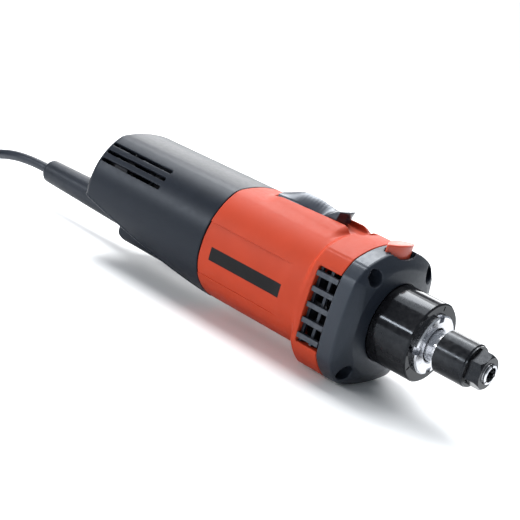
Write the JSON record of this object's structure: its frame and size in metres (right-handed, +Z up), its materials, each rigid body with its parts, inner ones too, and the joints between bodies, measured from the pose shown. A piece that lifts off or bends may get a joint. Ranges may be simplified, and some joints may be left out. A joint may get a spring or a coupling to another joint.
{
  "type": "rotary hobby tool",
  "caption": "Straight milling and grinding motor with a clamping neck, collet chuck, slide switch, spindle lock and mains cord.",
  "frame": {"origin": "on the bench under the middle of the tool's length, from the cord guard's tip to the collet's face, and below the spindle's axis", "axes": "+X forward along the spindle to the collet, +Z up through the switch slider, +Y to the tool's left"},
  "size_m": [0.5745, 0.1022, 0.0797],
  "materials": {
    "housing_red": "fine moulded texture, orange-red",
    "cover_black": "satin moulded, blue-black",
    "flange_black": "satin black, fine cast grain",
    "neck_black": "polished black",
    "nut_black": "blackened steel, semi-gloss",
    "bright_steel": "ground and turned steel",
    "screw_steel": "zinc plated",
    "bearing_steel": "polished bearing steel",
    "spring_steel": "drawn wire",
    "lamination": "stacked electrical sheet",
    "copper": "enamelled copper wire",
    "brass": "stamped brass",
    "carbon": "pressed carbon",
    "grille_black": "satin moulded",
    "switch_black": "semi-gloss moulded",
    "lock_orange": "semi-gloss moulded",
    "inner_plastic": "glass-filled nylon",
    "controller_potting": "potted circuit board",
    "suppressor_yellow": "film capacitor case",
    "terminal_white": "moulded terminal block",
    "wire_insulation": "PVC insulation",
    "bush_rubber": "moulded rubber",
    "cord_rubber": "rubber sheath",
    "guard_rubber": "moulded rubber",
    "plug_black": "moulded on",
    "pin_nickel": "nickel plated",
    "tie_black": "hook and loop strap"
  },
  "bodies": {
    "body": {"motor_housing": "housing_red", "front_flange": "flange_black", "flange_screws": "screw_steel", "clamping_neck": "neck_black", "vent_grille_left": "grille_black", "vent_grille_right": "grille_black", "air_baffle": "inner_plastic", "rear_cover": "cover_black", "rear_cover_screws": "screw_steel", "chassis": "inner_plastic", "bearing_nut": "bright_steel", "front_bearing_outer": "bearing_steel", "main_bearing_outer": "bearing_steel", "rear_bearing_outer": "bearing_steel", "bearing_bush": "bush_rubber", "stator_core": "lamination", "upper_field_coil": "copper", "lower_field_coil": "copper", "brush_carrier": "inner_plastic", "carrier_screws": "screw_steel", "brush_holders": "brass", "carbon_brushes": "carbon", "brush_springs": "spring_steel", "switch_unit": "inner_plastic", "lock_spring": "spring_steel", "speed_controller": "controller_potting", "dial_potentiometer": "inner_plastic", "suppressor": "suppressor_yellow", "terminal_block": "terminal_white", "cable_clamp": "inner_plastic", "clamp_screws": "screw_steel", "inner_wires": "wire_insulation", "inner_cord": "cord_rubber", "cord_guard": "guard_rubber", "power_cord": "cord_rubber", "cord_coil": "cord_rubber", "coil_tie": "tie_black", "cord_tail": "cord_rubber", "plug_body": "plug_black", "plug_pins": "pin_nickel"},
    "spindle": {"spindle": "bright_steel", "armature_core": "lamination", "armature_windings": "copper", "commutator": "copper", "fan": "inner_plastic", "bearing_spacer": "bright_steel", "front_bearing_inner": "bearing_steel", "front_bearing_balls": "bearing_steel", "main_bearing_inner": "bearing_steel", "main_bearing_balls": "bearing_steel", "rear_bearing_inner": "bearing_steel", "rear_bearing_balls": "bearing_steel"},
    "collet": {"collet": "bright_steel"},
    "collet_nut": {"collet_nut": "nut_black"},
    "spindle_lock": {"lock_button": "lock_orange", "lock_pin": "bright_steel"},
    "power_switch": {"switch_slider": "switch_black", "switch_rod": "inner_plastic"},
    "speed_dial": {"speed_dial": "switch_black"}
  },
  "joints": [
    {"name": "spindle_turn", "type": "hinge", "parent": "body", "child": "spindle", "pos_m": [0.0675, 0, 0.0372], "axis": [1, 0, 0], "continuous": true},
    {"name": "collet_release", "type": "slide", "parent": "spindle", "child": "collet", "axis": [1, 0, 0], "range_m": [0, 0.0045]},
    {"name": "nut_turn", "type": "hinge", "parent": "collet", "child": "collet_nut", "pos_m": [0.1445, 0, 0.0372], "axis": [1, 0, 0], "range_deg": [0, 1080]},
    {"name": "lock_press", "type": "slide", "parent": "body", "child": "spindle_lock", "axis": [0, 0, -1], "range_m": [0, 0.004], "stiffness_N_per_m": 500, "springref_m": -0.002, "deforming": ["lock_spring"]},
    {"name": "switch_slide", "type": "slide", "parent": "body", "child": "power_switch", "axis": [1, 0, 0], "range_m": [0, 0.005]},
    {"name": "dial_turn", "type": "hinge", "parent": "body", "child": "speed_dial", "pos_m": [-0.087, 0, 0.0492], "axis": [0, 1, 0], "range_deg": [0, 300]}
  ],
  "couplings": [
    {"joint": "nut_turn", "follows": "collet_release", "rad_per_m": 4188.8}
  ]
}
